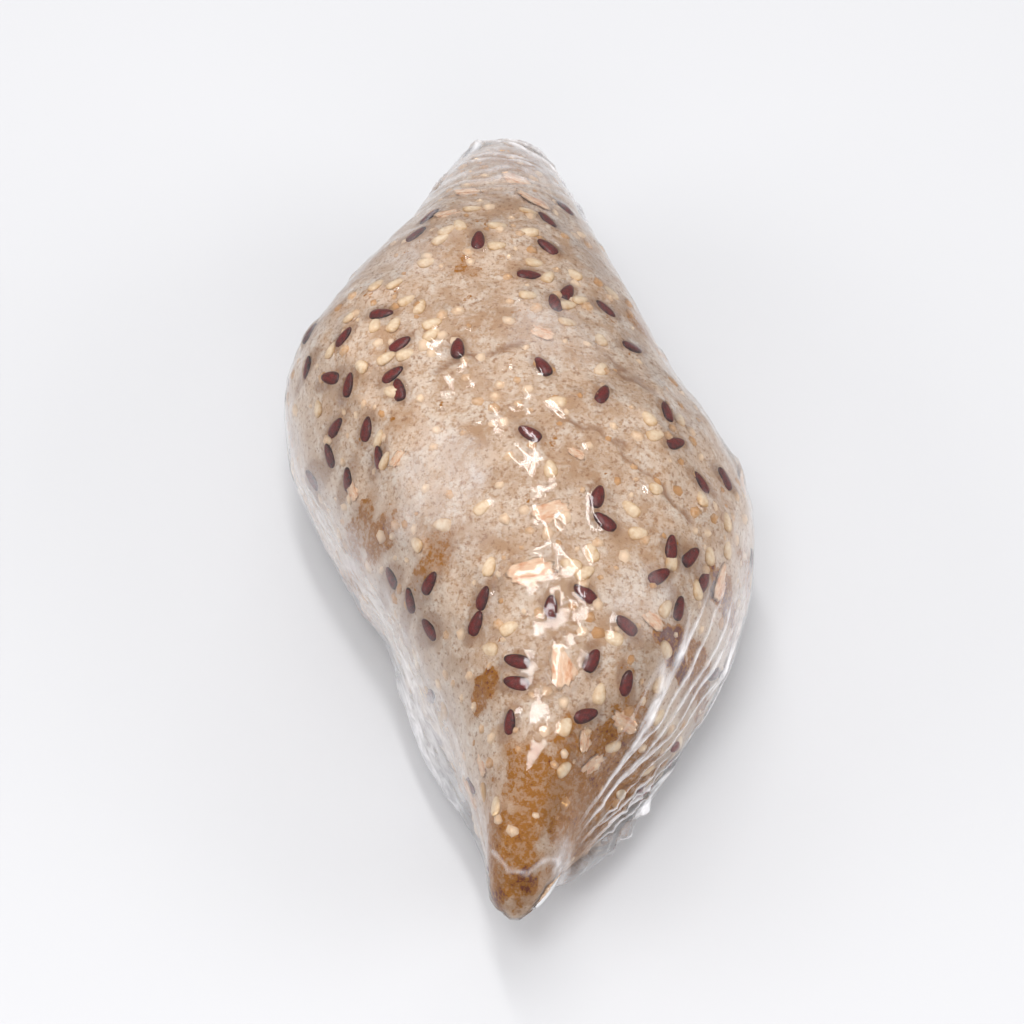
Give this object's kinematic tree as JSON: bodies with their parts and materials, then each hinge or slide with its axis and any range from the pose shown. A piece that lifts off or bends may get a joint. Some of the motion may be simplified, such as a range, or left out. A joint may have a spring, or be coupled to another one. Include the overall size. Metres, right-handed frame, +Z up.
{
  "type": "film-wrapped seeded bread roll",
  "caption": "Pointed, lens-shaped bread roll with a seeded crust, lying on its flat base, tightly wrapped in clear film whose edges are gathered underneath.",
  "frame": {"origin": "on the surface that the roll rests on, under the middle of its bounding box", "axes": "+Y along the roll from one pointed end to the other, +X across it, +Z up"},
  "size_m": [0.0767, 0.1485, 0.0484],
  "materials": {
    "crust": "matte",
    "cling_film": "gloss",
    "linseed": "satin",
    "sesame": "matte",
    "grain_flake": "matte"
  },
  "bodies": {
    "root": {"roll": "crust", "cling_film": "cling_film"}
  },
  "joints": []
}
